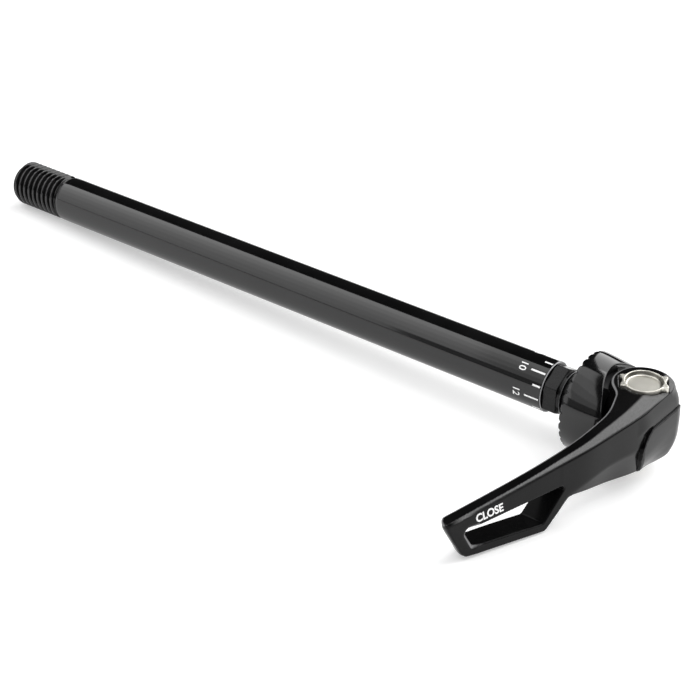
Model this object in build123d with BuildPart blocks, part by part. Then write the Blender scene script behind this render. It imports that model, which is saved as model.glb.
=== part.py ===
from build123d import *
import math
import os

# Thru axle with a cam lever, modelled closed, as it clamps a wheel.
# X runs along the axle: 0 is the clamp face of the toothed flange, the lever
# is on the +X side and the thread on the -X side.  Z is the lever's pivot axis.

os.makedirs("parts", exist_ok=True)

# ---------------------------------------------------------------- dimensions
# axle tube
tube_r = 6.0                # 12 mm axle
thread_r = 5.95             # M12 x 1.75 thread, drawn at its crest
tip_x = -180.0              # thread tip to clamp face: 180 mm
thread_len = 18.0
relief_len, relief_r = 1.1, 5.0   # groove between the thread and the plain tube
tip_chamfer = 1.1
tube_end_x = -7.9
bore_r = 3.4
socket_r = 4.4              # counterbore that takes the end plug
socket_x = -31.0
# end plug, thrust washer and draw rod
plug_x0, plug_x1 = -22.0, -8.05
rod_r = 2.5                 # M5 rod
rod_run = 0.06              # running clearance on the rod
rod_head_r = 4.0
rod_head_x0, rod_head_x1 = -27.5, -23.05
washer_x0, washer_x1 = -23.0, -22.0
washer_r = 4.2
# index nut
nut_x0, nut_x1 = -7.8, -3.6
nut_corner_r = 6.0
nut_end_r = 5.1
nut_collar_r, nut_collar_x = 4.2, -2.6
# clamp flange
flange_rim_r = 11.3
flange_len = 10.2
saddle_mid_r, saddle_rim_r = 10.8, 7.9   # about the lever's pivot, at mid height and at the rim
tooth_count = 30
tooth_depth = 0.9
recess_r, recess_depth = 6.6, 1.2
# lever pivot
pin_x = 13.6
pin_r = 4.0
pin_run = 0.05
pin_z0, pin_z1 = -6.9, 8.1
rod_end_x = pin_x + 2.9
# cam: radius at the closed lever, and how much it falls over the lever's throw
cam_r = 6.35
throw_deg = 90.0
throw_mm = 1.2
cam_gap = 0.25
cam_half = 7.7
follower_r = 9.4
follower_half_y = 3.9
follower_half_z = 7.4
# pin caps
cap_r = 4.4
cap_ear_x, cap_ear_y = 5.1, 2.3
cap_notch_r, cap_notch_x = 2.3, 6.95
cap_turn = 31.0
cap_bottom, cap_top = 8.2, 10.1
dish_r, dish_floor_r, dish_z = 4.05, 3.75, 9.2
low_cap_r, low_cap_top = 4.3, -7.0
# lever head
head_top = 9.5
head_bottom = -8.3
facet_x, facet_slope = 15.85, 0.2
# lever head in plan at each height: z, outer face x, far side y, far corner
# radius, near side y
head_levels = [
    (9.5, 19.3, 6.5, 4.5, -6.0),
    (8.0, 19.42, 7.25, 4.5, -6.0),
    (3.4, 19.62, 8.1, 4.5, -6.0),
    (-0.8, 19.85, 8.4, 4.5, -6.0),
    (-3.2, 19.7, 8.2, 4.4, -6.0),
    (-5.4, 19.0, 7.3, 4.2, -5.8),
    (-7.2, 17.6, 5.7, 3.6, -5.0),
    (-8.3, 15.9, 4.0, 2.2, -3.4),
]
head_near_r = 1.6
pad_rise = 0.45
# lever arm stations: y, then (x, z) of the top inner edge, top crease, outer
# crease, bottom outer edge, bottom inner edge and inner shoulder
arm = [
    (-2.0, (9.6, 9.5), (15.85, 9.5), (19.5, 8.85), (17.6, -10), (10.2, -10), (9.6, 8.8)),
    (-8.0, (11.3, 9.5), (16.15, 9.5), (19.4, 8.8), (20.05, -10), (11.0, -10), (11.0, 8.7)),
    (-13.0, (13.0, 9.5), (16.25, 9.5), (18.9, 8.7), (19.35, -10), (11.6, -10), (12.0, 7.3)),
    (-20.0, (13.5, 9.45), (15.95, 9.45), (17.85, 8.55), (18.05, -10), (11.6, -10), (12.0, 6.0)),
    (-27.0, (13.05, 9.15), (15.3, 9.15), (16.65, 8.3), (16.75, -10), (10.9, -10), (11.3, 4.6)),
    (-33.0, (11.95, 8.6), (14.0, 8.6), (15.1, 7.9), (15.1, -10), (9.3, -10), (9.7, 3.2)),
    (-40.0, (10.2, 7.85), (12.3, 7.85), (13.1, 7.25), (13.1, -10), (7.2, -10), (7.6, 1.6)),
    (-50.0, (7.4, 6.9), (9.45, 6.9), (10.2, 6.3), (10.2, -10), (4.4, -10), (4.8, 0.8)),
    (-63.2, (3.6, 5.75), (5.8, 5.75), (6.5, 5.25), (6.5, -10), (1.6, -10), (2.0, 0.8)),
]
arm_edge_r = 0.35
# arm seen from outside, (y, z)
arm_outline = [
    (6.0, 12.0), (6.0, -6.4), (-4.5, -6.6), (-7.5, -7.1), (-30.6, -1.5), (-31.6, -1.5),
    (-37.4, -7.1), (-57.4, -4.4), (-58.8, -3.3), (-60.7, 0.2), (-62.3, 4.6), (-62.9, 7.4), (-62.9, 12.0),
]
slot_outline = [
    (-57.6, 2.6), (-33.9, 2.75), (-33.1, 1.6), (-38.0, -5.1), (-55.5, -2.3),
]


def on_circle(cx, cy, r, deg):
    return (cx + r * math.cos(math.radians(deg)), cy + r * math.sin(math.radians(deg)))


# ---------------------------------------------------------------- axle tube
with BuildPart() as axle_tube:
    with BuildSketch(Plane.XZ) as s:
        with BuildLine():
            Polyline(
                (tip_x, bore_r + 0.4),
                (tip_x, thread_r - tip_chamfer),
                (tip_x + tip_chamfer, thread_r),
                (tip_x + thread_len - relief_len - 0.5, thread_r),
                (tip_x + thread_len - relief_len, relief_r),
                (tip_x + thread_len, relief_r),
                (tip_x + thread_len, tube_r - 0.2),
                (tip_x + thread_len + 0.2, tube_r),
                (tube_end_x - 0.25, tube_r),
                (tube_end_x, tube_r - 0.25),
                (tube_end_x, socket_r),
                (socket_x, socket_r),
                (socket_x - 1.0, bore_r),
                (tip_x + 0.4, bore_r),
                close=True,
            )
        make_face()
    revolve(axis=Axis.X)
axle_tube.part.label = "axle_tube"
export_step(axle_tube.part, "parts/axle_tube.step")

# ------------------------------------------------- end plug of the tube's bore
with BuildPart() as end_plug:
    with BuildSketch(Plane.XZ) as s:
        with BuildLine():
            Polyline(
                (plug_x0, rod_r + rod_run),
                (plug_x0, socket_r - 0.3),
                (plug_x0 + 0.3, socket_r),
                (plug_x1, socket_r),
                (plug_x1, rod_r + rod_run + 0.3),
                (plug_x1 - 0.3, rod_r + rod_run),
                close=True,
            )
        make_face()
    revolve(axis=Axis.X)
end_plug.part.label = "end_plug"
export_step(end_plug.part, "parts/end_plug.step")

with BuildPart() as thrust_washer:
    with BuildSketch(Plane.YZ.offset(washer_x0)) as s:
        Circle(washer_r)
        Circle(rod_r + 0.1, mode=Mode.SUBTRACT)
    extrude(amount=washer_x1 - washer_x0)
thrust_washer.part.label = "thrust_washer"
export_step(thrust_washer.part, "parts/thrust_washer.step")

# ---------------------------------------------------------------- draw rod
with BuildPart() as draw_rod:
    with BuildSketch(Plane.XZ) as s:
        with BuildLine():
            Polyline(
                (rod_head_x0, 0),
                (rod_head_x0, rod_head_r - 0.4),
                (rod_head_x0 + 0.4, rod_head_r),
                (rod_head_x1, rod_head_r),
                (rod_head_x1, rod_r),
                (rod_end_x - 0.3, rod_r),
                (rod_end_x, rod_r - 0.3),
                (rod_end_x, 0),
                close=True,
            )
        make_face()
    revolve(axis=Axis.X)
    with BuildSketch(Plane.YZ.offset(rod_head_x0)) as s:
        RegularPolygon(radius=1.45, side_count=6)
    extrude(amount=2.6, mode=Mode.SUBTRACT)
draw_rod.part.label = "draw_rod"
export_step(draw_rod.part, "parts/draw_rod.step")

# ---------------------------------------------------------------- index nut
with BuildPart() as index_nut:
    with BuildSketch(Plane.YZ.offset(nut_x0)) as s:
        RegularPolygon(radius=nut_corner_r, side_count=6, rotation=30)
    extrude(amount=nut_x1 - nut_x0)
    with BuildSketch(Plane.XZ) as s:
        with BuildLine():
            Polyline(
                (nut_x0, rod_r),
                (nut_x0, nut_end_r + 0.35),
                (nut_x0 + 0.35, nut_corner_r + 0.1),
                (nut_x1 - 0.6, nut_corner_r + 0.1),
                (nut_x1, nut_end_r),
                (nut_x1, rod_r),
                close=True,
            )
        make_face()
    revolve(axis=Axis.X, mode=Mode.INTERSECT)
    with BuildSketch(Plane.YZ.offset(nut_x1)) as s:
        Circle(nut_collar_r)
        Circle(rod_r, mode=Mode.SUBTRACT)
    extrude(amount=nut_collar_x - nut_x1)
index_nut.part.label = "index_nut"
export_step(index_nut.part, "parts/index_nut.step")

# ------------------------------------------------- barrel nut: the cross pin
with BuildPart() as barrel_nut:
    with BuildSketch(Plane.XY.offset(pin_z0)) as s:
        with Locations((pin_x, 0)):
            Circle(pin_r)
    extrude(amount=pin_z1 - pin_z0)
    chamfer(barrel_nut.edges().filter_by(GeomType.CIRCLE), 0.4)
    with BuildSketch(Plane.XZ) as s:
        with BuildLine():
            Polyline(
                (pin_x - 8, 0),
                (pin_x - 8, rod_r),
                (rod_end_x - 0.3, rod_r),
                (rod_end_x, rod_r - 0.3),
                (rod_end_x, 0),
                close=True,
            )
        make_face()
    revolve(axis=Axis.X, mode=Mode.SUBTRACT)
barrel_nut.part.label = "barrel_nut"
export_step(barrel_nut.part, "parts/barrel_nut.step")

# ------------------------------------- saddle hollow, turned about the lever's pivot
with BuildPart() as saddle:
    with BuildSketch(Plane.XZ) as s:
        with BuildLine():
            Spline(
                (pin_x - saddle_rim_r + 0.9, 13.2),
                (pin_x - saddle_rim_r, 11.6),
                (pin_x - 9.0, 9.3),
                (pin_x - 9.8, 7.2),
                (pin_x - 10.5, 4.6),
                (pin_x - saddle_mid_r, 0),
                (pin_x - 10.5, -4.6),
                (pin_x - 9.8, -7.2),
                (pin_x - 9.0, -9.3),
                (pin_x - saddle_rim_r, -11.6),
                (pin_x - saddle_rim_r + 0.9, -13.2),
            )
            Polyline(
                (pin_x - saddle_rim_r + 0.9, -13.2),
                (pin_x, -13.2),
                (pin_x, 13.2),
                (pin_x - saddle_rim_r + 0.9, 13.2),
            )
        make_face()
    revolve(axis=Axis((pin_x, 0, 0), (0, 0, 1)))

# ---------------------------------------------------------------- clamp flange
with BuildPart() as clamp_flange:
    with BuildSketch(Plane.XZ) as s:
        with BuildLine():
            Polyline(
                (flange_len, 0),
                (recess_depth, 0),
                (recess_depth, recess_r),
                (0, recess_r + 0.3),
                (0, flange_rim_r - 0.25),
                (0.25, flange_rim_r),
            )
            Spline((0.25, flange_rim_r), (2.6, 11.5), (7.2, 11.1), (9.3, 10.65))
            Polyline((9.3, 10.65), (flange_len, 9.8), (flange_len, 0))
        make_face()
    revolve(axis=Axis.X)
    # bore that slides on the draw rod
    with BuildSketch(Plane.YZ) as s:
        Circle(rod_r + 0.08)
    extrude(amount=flange_len + 1, mode=Mode.SUBTRACT)
    # saddle across the outboard side, under the lever's head
    add(saddle.part, mode=Mode.SUBTRACT)
# one gap between two radial teeth of the clamp face
with BuildPart() as tooth_gap:
    with BuildSketch(Plane.XY.offset(recess_r + 1.6)) as s:
        with BuildLine():
            Polyline((-0.06, -0.05), (-0.06, 0.05), (0.02, 0), close=True)
        make_face()
    with BuildSketch(Plane.XY.offset(flange_rim_r + 1.0)) as s:
        with BuildLine():
            Polyline((-0.3, -1.35), (-0.3, 1.35), (tooth_depth + 0.1, 0), close=True)
        make_face()
    loft(ruled=True)
with BuildPart() as clamp_flange_toothed:
    add(clamp_flange.part)
    for i in range(tooth_count):
        add(tooth_gap.part.rotate(Axis.X, 360.0 * i / tooth_count), mode=Mode.SUBTRACT)
clamp_flange_toothed.part.label = "clamp_flange"
export_step(clamp_flange_toothed.part, "parts/clamp_flange.step")

# ------------------------------------------------- cam follower in the saddle
follower_cx = pin_x - cam_r - cam_gap + follower_r
with BuildPart() as cam_follower:
    with BuildSketch(Plane.XY.offset(-follower_half_z)) as s:
        with Locations((6.0, 0)):
            Rectangle(10.0, 2 * follower_half_y)
        with Locations((follower_cx, 0)):
            Circle(follower_r, mode=Mode.SUBTRACT)
    extrude(amount=2 * follower_half_z)
    add(saddle.part, mode=Mode.INTERSECT)
    with BuildSketch(Plane.YZ) as s:
        Circle(rod_r + 0.08)
    extrude(amount=12, mode=Mode.SUBTRACT)
cam_follower.part.label = "cam_follower"
export_step(cam_follower.part, "parts/cam_follower.step")

# ---------------------------------------------------------------- lever
# head: a drafted boss round the pivot with a flat outer face, larger low down,
# and a rounded underside
with BuildPart() as lever_head:
    for z, xo, y1, rc, y0 in head_levels:
        with BuildSketch(Plane.XY.offset(z)) as s:
            with BuildLine():
                Line((pin_x, y1), (xo - rc, y1))
                ThreePointArc((xo - rc, y1), on_circle(xo - rc, y1 - rc, rc, 45), (xo, y1 - rc))
                Line((xo, y1 - rc), (xo, y0 + head_near_r))
                ThreePointArc(
                    (xo, y0 + head_near_r),
                    on_circle(xo - head_near_r, y0 + head_near_r, head_near_r, -45),
                    (xo - head_near_r, y0),
                )
                Line((xo - head_near_r, y0), (pin_x - 6.45, y0))
                Line((pin_x - 6.45, y0), (pin_x - 6.45, 0))
                ThreePointArc((pin_x - 6.45, 0), (pin_x - 6.45 * 0.7071, y1 * 0.7071), (pin_x, y1))
            make_face()
    loft(ruled=True)
    # nothing but the round boss on the side of the flange
    with BuildSketch(Plane.XY.offset(-20)) as s:
        with Locations((pin_x, 0)):
            Circle(6.45)
        with Locations((pin_x + 10 - 4.0, 0)):
            Rectangle(20, 30)
    extrude(amount=40, mode=Mode.INTERSECT)
    # sloping facet on the outboard half of the top
    with BuildSketch(Plane.XZ.offset(-20)) as s:
        with BuildLine():
            Polyline(
                (facet_x, head_top),
                (facet_x + 15, head_top - 15 * facet_slope),
                (facet_x + 15, head_top + 5),
                (facet_x, head_top + 5),
                close=True,
            )
        make_face()
    extrude(amount=40, mode=Mode.SUBTRACT)

# raised pad that wraps the outboard end of the head
with BuildPart() as head_pad:
    for z, xo, y1, rc, y0 in head_levels[1:]:
        low = 1.0 if z > head_bottom else 0.6
        po, p1 = xo + pad_rise * low, y1 + pad_rise * low
        with BuildSketch(Plane.XY.offset(z)) as s:
            with BuildLine():
                Line((pin_x, p1), (po - rc, p1))
                ThreePointArc((po - rc, p1), on_circle(po - rc, p1 - rc, rc, 45), (po, p1 - rc))
                Line((po, p1 - rc), (po, y0 + head_near_r))
                ThreePointArc(
                    (po, y0 + head_near_r),
                    on_circle(po - head_near_r, y0 + head_near_r, head_near_r, -45),
                    (po - head_near_r, y0),
                )
                Line((po - head_near_r, y0), (pin_x - 6.45, y0))
                Line((pin_x - 6.45, y0), (pin_x - 6.45, 0))
                ThreePointArc((pin_x - 6.45, 0), (pin_x - 6.45 * 0.7071, p1 * 0.7071), (pin_x, p1))
            make_face()
    loft(ruled=True)
    # seen from outside: top edge rises away from the arm, left edge leans
    with BuildSketch(Plane.YZ.offset(pin_x + 2.4)) as s:
        with BuildLine():
            Polyline(
                (-5.9, 2.9), (-1.5, 4.6), (3.0, 5.2), (14.0, 5.6), (14.0, -12.0), (-7.9, -12.0), (-7.6, -4.0), (-7.0, 0.4),
                close=True,
            )
        make_face()
    extrude(amount=14, mode=Mode.INTERSECT)

# plane facet under the arm's outer face, from the pad to the waist
with BuildPart() as lower_facet:
    for y, x, z in ((-4.0, 19.95, 0.6), (-31.7, 15.4, -0.3)):
        with BuildSketch(Plane.XZ.offset(-y)) as s:
            with BuildLine():
                Polyline((x + 1.1, z + 5), (x - 2.2, z - 10), (x + 9, z - 10), (x + 9, z + 5), close=True)
            make_face()
    loft(ruled=True)

# inner corner of the paddle's tip, rounded off in plan
with BuildPart() as tip_corner:
    for z, dx, dy in ((8.0, 0.0, 0.0), (-8.0, 2.0, 7.2)):
        with BuildSketch(Plane.XY.offset(z)) as s:
            with BuildLine():
                Polyline(
                    (6.6 + dx, -65.4 + dy), (3.6 + dx, -61.4 + dy), (2.4 + dx, -58.6 + dy), (1.7 + dx, -53.5 + dy),
                    (-8, -53.5 + dy), (-8, -70), (6.6 + dx, -70),
                    close=True,
                )
            make_face()
    loft(ruled=True)


# outline shared by the pin caps and their pockets
def cap_outline(grow):
    with BuildSketch() as c:
        Circle(cap_r + grow)
        Rectangle(2 * (cap_ear_x + grow), 2 * (cap_ear_y + grow))
        with Locations((cap_notch_x, 0), (-cap_notch_x, 0)):
            Circle(cap_notch_r - grow, mode=Mode.SUBTRACT)
        fillet(c.vertices(), 0.2)
    return c.sketch


with BuildPart() as lever:
    for y, a, b, c, d, f, h in arm:
        with BuildSketch(Plane.XZ.offset(-y)) as s:
            with BuildLine():
                Polyline(a, b, c, d, f, h, close=True)
            make_face()
            fillet(s.vertices(), arm_edge_r)
    loft(ruled=True)
    with BuildSketch(Plane.YZ.offset(-10)) as s:
        with BuildLine():
            Polyline(*arm_outline, close=True)
        make_face()
    extrude(amount=45, mode=Mode.INTERSECT)
    add(lower_facet.part, mode=Mode.SUBTRACT)
    # inner corner of the tip, leaning with the end of the paddle
    add(tip_corner.part, mode=Mode.SUBTRACT)
    add(lever_head.part)
    add(head_pad.part)
    # cam: a spiral that falls as the lever opens, clear of the follower
    with BuildSketch(Plane.XY.offset(-cam_half)) as s:
        with BuildLine():
            start_deg, end_deg = 180.0 - throw_deg - 46.0, 226.0
            pts = []
            for i in range(0, 31):
                deg = start_deg + (180.0 - start_deg) * i / 30
                pts.append(on_circle(pin_x, 0, cam_r - throw_mm * (180.0 - deg) / throw_deg, deg))
            Spline(*pts)
            last = on_circle(pin_x, 0, cam_r, end_deg)
            ThreePointArc(pts[-1], on_circle(pin_x, 0, cam_r, 203.0), last)
            out = on_circle(pin_x, 0, 16, end_deg)
            far = on_circle(pin_x, 0, 16, start_deg)
            Line(last, out)
            ThreePointArc(out, on_circle(pin_x, 0, 16, 138.0), far)
            Line(far, pts[0])
        make_face()
    extrude(amount=2 * cam_half, mode=Mode.SUBTRACT)
    # cross-pin bore and cap pockets
    with BuildSketch(Plane.XY.offset(-20)) as s:
        with Locations((pin_x, 0)):
            Circle(pin_r + pin_run)
    extrude(amount=40, mode=Mode.SUBTRACT)
    with BuildSketch(Plane((pin_x, 0, cap_bottom), x_dir=on_circle(0, 0, 1, cap_turn) + (0,), z_dir=(0, 0, 1))) as s:
        add(cap_outline(0.0))
    extrude(amount=6, mode=Mode.SUBTRACT)
    with BuildSketch(Plane.XY.offset(low_cap_top)) as s:
        with Locations((pin_x, 0)):
            Circle(low_cap_r)
    extrude(amount=-6, mode=Mode.SUBTRACT)
    # slot that the draw rod sweeps through as the lever opens
    with BuildSketch(Plane.XY.offset(-rod_r - 0.3)) as s:
        for deg in (180.0, 180.0 - throw_deg / 2, 180.0 - throw_deg):
            with BuildLine():
                wide = rod_r + 0.3
                ux, uy = on_circle(0, 0, 1, deg)
                Polyline(
                    (pin_x - uy * wide, ux * wide),
                    (pin_x + 14 * ux - uy * wide, 14 * uy + ux * wide),
                    (pin_x + 14 * ux + uy * wide, 14 * uy - ux * wide),
                    (pin_x + uy * wide, -ux * wide),
                    close=True,
                )
            make_face()
        with BuildLine():
            Line((pin_x, 0), (pin_x - 14, 0))
            ThreePointArc((pin_x - 14, 0), on_circle(pin_x, 0, 14, 180.0 - throw_deg / 2), on_circle(pin_x, 0, 14, 180.0 - throw_deg))
            Line(on_circle(pin_x, 0, 14, 180.0 - throw_deg), (pin_x, 0))
        make_face()
    extrude(amount=2 * rod_r + 0.6, mode=Mode.SUBTRACT)
    # finger slot through the paddle
    with BuildSketch(Plane.YZ.offset(-10)) as s:
        with BuildLine():
            Polyline(*slot_outline, close=True)
        make_face()
        fillet(s.vertices(), 0.6)
    extrude(amount=45, mode=Mode.SUBTRACT)
lever.part.label = "lever"
export_step(lever.part, "parts/lever.step")

# ---------------------------------------------------------------- pin caps
with BuildPart() as upper_pin_cap:
    with BuildSketch(Plane((pin_x, 0, cap_bottom), x_dir=on_circle(0, 0, 1, cap_turn) + (0,), z_dir=(0, 0, 1))) as s:
        add(cap_outline(0.0))
    extrude(amount=cap_top - cap_bottom)
    with BuildSketch(Plane.XY.offset(dish_z)) as s:
        with Locations((pin_x, 0)):
            Circle(dish_floor_r)
    with BuildSketch(Plane.XY.offset(cap_top)) as s:
        with Locations((pin_x, 0)):
            Circle(dish_r)
    loft(ruled=True, mode=Mode.SUBTRACT)
upper_pin_cap.part.label = "upper_pin_cap"
export_step(upper_pin_cap.part, "parts/upper_pin_cap.step")

with BuildPart() as lower_pin_cap:
    with BuildSketch(Plane.XY.offset(head_bottom + 0.1)) as s:
        with Locations((pin_x, 0)):
            Circle(low_cap_r)
    extrude(amount=low_cap_top - head_bottom - 0.1)
    chamfer(lower_pin_cap.edges().sort_by(Axis.Z)[0], 0.3)
    with BuildSketch(Plane.XY.offset(head_bottom + 0.1)) as s:
        with Locations((pin_x, 0)):
            Circle(2.6)
    extrude(amount=0.4, mode=Mode.SUBTRACT)
lower_pin_cap.part.label = "lower_pin_cap"
export_step(lower_pin_cap.part, "parts/lower_pin_cap.step")
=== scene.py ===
import math

import bpy
import numpy as np
from mathutils import Matrix, Vector


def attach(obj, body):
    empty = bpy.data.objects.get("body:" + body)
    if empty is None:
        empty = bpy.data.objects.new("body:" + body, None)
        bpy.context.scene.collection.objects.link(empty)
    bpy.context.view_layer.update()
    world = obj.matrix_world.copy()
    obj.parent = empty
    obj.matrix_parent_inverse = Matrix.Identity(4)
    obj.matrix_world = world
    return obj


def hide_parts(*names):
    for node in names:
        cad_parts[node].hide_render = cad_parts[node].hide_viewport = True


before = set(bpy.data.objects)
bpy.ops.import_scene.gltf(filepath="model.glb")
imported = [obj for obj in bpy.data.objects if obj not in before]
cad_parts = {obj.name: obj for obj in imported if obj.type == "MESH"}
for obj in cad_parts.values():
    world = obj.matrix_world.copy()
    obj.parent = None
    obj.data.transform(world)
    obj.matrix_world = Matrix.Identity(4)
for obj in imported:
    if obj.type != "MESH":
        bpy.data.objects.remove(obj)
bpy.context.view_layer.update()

MM = 0.001
PIN_X = 13.6                     # lever pivot, on the axle's centre line


# ------------------------------------------------------------------ distance fields
# Solids are written as signed distances in millimetres, negative inside, and meshed
# on a grid.  smax and smin blend two of them over k, rmax rounds an edge to radius r.
def smax(a, b, k):
    h = np.maximum(k - np.abs(a - b), 0.0)
    return np.maximum(a, b) + h * h * (0.25 / k)


def smin(a, b, k):
    h = np.maximum(k - np.abs(a - b), 0.0)
    return np.minimum(a, b) - h * h * (0.25 / k)


def rmax(a, b, r):
    u = np.maximum(a + r, 0.0)
    v = np.maximum(b + r, 0.0)
    return np.minimum(-r, np.maximum(a, b)) + np.sqrt(u * u + v * v)


def step(a, b, t):
    u = np.clip((t - a) / (b - a), 0.0, 1.0)
    return u * u * (3.0 - 2.0 * u)


def side(x, z, x0, z0, x1, z1):
    """Distance from the line p0 to p1, positive on its right-hand side."""
    dx, dz = x1 - x0, z1 - z0
    return ((x - x0) * dz - (z - z0) * dx) / np.sqrt(dx * dx + dz * dz)


class Curve:
    """A smooth curve through points, straight beyond its ends.  With flat=True it never overshoots."""

    def __init__(self, xs, ys, flat=False):
        x, y = np.array(xs, float), np.array(ys, float)
        n, h = len(x), np.diff(x)
        d = np.diff(y) / h
        if flat:
            m = np.empty(n)
            m[0], m[-1] = d[0], d[-1]
            for i in range(1, n - 1):
                if d[i - 1] * d[i] <= 0:
                    m[i] = 0.0
                else:
                    w1, w2 = 2 * h[i] + h[i - 1], h[i] + 2 * h[i - 1]
                    m[i] = (w1 + w2) / (w1 / d[i - 1] + w2 / d[i])
        else:
            a = np.zeros((n, n))
            r = np.zeros(n)
            a[0, 0], a[0, 1], r[0] = 2, 1, 3 * d[0]
            a[-1, -1], a[-1, -2], r[-1] = 2, 1, 3 * d[-1]
            for i in range(1, n - 1):
                a[i, i - 1], a[i, i], a[i, i + 1] = h[i], 2 * (h[i - 1] + h[i]), h[i - 1]
                r[i] = 3 * (h[i] * d[i - 1] + h[i - 1] * d[i])
            m = np.linalg.solve(a, r)
        self.x, self.y, self.m = x, y, m

    def __call__(self, t):
        x, y, m = self.x, self.y, self.m
        t = np.asarray(t, float)
        i = np.clip(np.searchsorted(x, t) - 1, 0, len(x) - 2)
        h = x[i + 1] - x[i]
        u = (t - x[i]) / h
        v = np.clip(u, 0.0, 1.0)
        w = 1.0 - v
        c = w * w * (1 + 2 * v) * y[i] + v * v * (1 + 2 * w) * y[i + 1] + v * w * w * h * m[i] - v * v * w * h * m[i + 1]
        return c + np.minimum(u, 0.0) * h * m[i] + np.maximum(u - 1.0, 0.0) * h * m[i + 1]


def inset(poly, r):
    """The polygon with every edge moved inwards by r."""
    p = np.array(poly, float)
    area = 0.5 * np.sum(p[:, 0] * np.roll(p[:, 1], -1) - np.roll(p[:, 0], -1) * p[:, 1])
    if area < 0:
        p = p[::-1]
    n, out = len(p), []
    for i in range(n):
        a, b, c = p[i - 1], p[i], p[(i + 1) % n]
        d1, d2 = (b - a) / np.linalg.norm(b - a), (c - b) / np.linalg.norm(c - b)
        n1, n2 = np.array([-d1[1], d1[0]]), np.array([-d2[1], d2[0]])
        s = 1.0 + n1 @ n2
        out.append(b + (n1 + n2) * (r / max(s, 0.05)))
    return np.array(out)


def polygon(u, v, poly):
    """Signed distance to a polygon in a plane."""
    p = np.array(poly, float)
    n = len(p)
    best, sign = None, None
    for i in range(n):
        a, b = p[i], p[i - 1]
        e = b - a
        wu, wv = u - a[0], v - a[1]
        t = np.clip((wu * e[0] + wv * e[1]) / (e @ e), 0.0, 1.0)
        q = (wu - t * e[0]) ** 2 + (wv - t * e[1]) ** 2
        best = q if best is None else np.minimum(best, q)
        c1, c2, c3 = v >= a[1], v < b[1], e[0] * wv > e[1] * wu
        flip = (c1 & c2 & c3) | (~c1 & ~c2 & ~c3)
        sign = flip if sign is None else sign ^ flip
    d = np.sqrt(best)
    return np.where(sign, -d, d)


def rounded(u, v, poly, r):
    return polygon(u, v, inset(poly, r)) - r


def mesh_field(f, lo, hi, cell):
    """Vertices, normals and quads of the surface f = 0, each vertex moved onto it."""
    lo, hi = np.array(lo, float), np.array(hi, float)
    n = np.ceil((hi - lo) / cell).astype(int) + 1
    ax = [lo[i] + cell * np.arange(n[i]) for i in range(3)]
    F = np.empty(n, np.float32)
    for i in range(0, n[0], 24):
        F[i:i + 24] = f(ax[0][i:i + 24, None, None], ax[1][None, :, None], ax[2][None, None, :])
    S = F < 0
    count = np.zeros(n - 1, np.int8)
    corners = [(i, j, k) for i in (0, 1) for j in (0, 1) for k in (0, 1)]
    for i, j, k in corners:
        count += S[i:n[0] - 1 + i, j:n[1] - 1 + j, k:n[2] - 1 + k]
    cells = np.argwhere((count > 0) & (count < 8))
    number = np.full(n - 1, -1, np.int64)
    number[tuple(cells.T)] = np.arange(len(cells))
    pos, hits = np.zeros((len(cells), 3)), np.zeros(len(cells))
    for a in corners:
        for axis in range(3):
            if a[axis]:
                continue
            b = list(a)
            b[axis] = 1
            fa = F[tuple((cells + a).T)].astype(float)
            fb = F[tuple((cells + b).T)].astype(float)
            cross = (fa < 0) != (fb < 0)
            t = np.where(cross, fa / np.where(cross, fa - fb, 1.0), 0.0)
            p = np.array(a, float)[None, :].repeat(len(cells), 0)
            p[:, axis] += t
            pos += p * cross[:, None]
            hits += cross
    P = lo + cell * (cells + pos / hits[:, None])
    quads = []
    for axis in range(3):
        o1, o2 = (axis + 1) % 3, (axis + 2) % 3
        first = [slice(1, -1)] * 3
        second = [slice(1, -1)] * 3
        first[axis], second[axis] = slice(0, -1), slice(1, None)
        s0, s1 = S[tuple(first)], S[tuple(second)]
        for inner, order in ((True, (0, 1, 2, 3)), (False, (3, 2, 1, 0))):
            at = np.argwhere((s0 != s1) & (s0 == inner))
            if not len(at):
                continue
            at = at + 1
            at[:, axis] -= 1
            ring = []
            for d1, d2 in ((-1, -1), (0, -1), (0, 0), (-1, 0)):
                c = at.copy()
                c[:, o1] += d1
                c[:, o2] += d2
                ring.append(number[tuple(c.T)])
            ring = np.stack(ring, 1)
            quads.append(ring[:, order])
    Q = np.concatenate(quads)
    e = 0.02

    def grad(P):
        x, y, z = P.T
        return np.stack([f(x + e, y, z) - f(x - e, y, z), f(x, y + e, z) - f(x, y - e, z), f(x, y, z + e) - f(x, y, z - e)], 1) / (2 * e)

    for _ in range(4):
        g = grad(P)
        move = f(*P.T) / np.maximum((g * g).sum(1), 0.25)
        P = P - g * np.clip(move, -0.35 * cell, 0.35 * cell)[:, None]
    g = grad(P)
    N = g / np.maximum(np.linalg.norm(g, axis=1), 1e-9)[:, None]
    return P, N, Q


def curvature(f, P, e=0.16):
    """How convex the surface is at each vertex: about 1 on a sharp outer edge, 0 on a flat, -1 in a corner."""
    x, y, z = P.T
    lap = sum(f(x + s * e, y, z) + f(x, y + s * e, z) + f(x, y, z + s * e) for s in (-1, 1)) - 6 * f(x, y, z)
    return np.clip(lap / e, -1.0, 1.0)


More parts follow.
